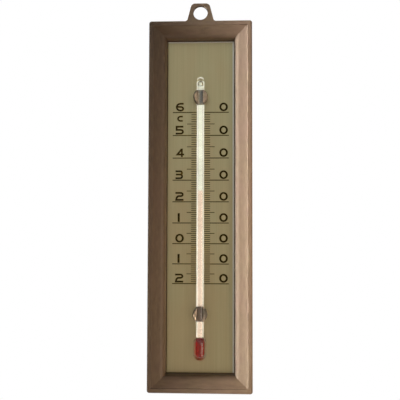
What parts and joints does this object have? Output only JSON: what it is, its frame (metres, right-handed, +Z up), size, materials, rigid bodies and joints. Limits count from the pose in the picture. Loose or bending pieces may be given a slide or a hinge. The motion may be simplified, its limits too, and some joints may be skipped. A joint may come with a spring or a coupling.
{
  "type": "wall thermometer",
  "caption": "Framed wall thermometer: moulded frame with a hanging eye, printed metal scale plate and a glass spirit tube.",
  "frame": {"origin": "centre of the hanging eye's hole, at the middle of the tab's thickness", "axes": "+X to the right as read, +Y into the wall, +Z up along the tube"},
  "size_m": [0.042, 0.01, 0.157],
  "materials": {
    "frame_plastic": "satin, finely mottled",
    "stud_plastic": "satin",
    "plate_metal": "brushed and anodised champagne gold",
    "tube_glass": "clear",
    "red_spirit": "clear red liquid",
    "white_ink": "matt print",
    "black_ink": "matt print"
  },
  "bodies": {
    "case": {"frame": "frame_plastic", "scale_plate": "plate_metal", "upper_tube_stud": "stud_plastic", "lower_tube_stud": "stud_plastic", "glass_tube": "tube_glass", "bulb_spirit": "red_spirit", "white_stripe": "white_ink", "ten_degree_lines": "black_ink", "five_degree_lines": "black_ink", "one_degree_lines": "black_ink", "tens_numerals": "black_ink", "nought_numerals": "black_ink", "celsius_letter": "black_ink"},
    "spirit": {"spirit_column": "red_spirit", "spirit_meniscus": "red_spirit"}
  },
  "joints": [
    {"name": "spirit_rise", "type": "slide", "parent": "case", "child": "spirit", "axis": [0, 0, 1], "range_m": [-0.03778, 0.03252], "deforming": ["spirit_column"]}
  ]
}
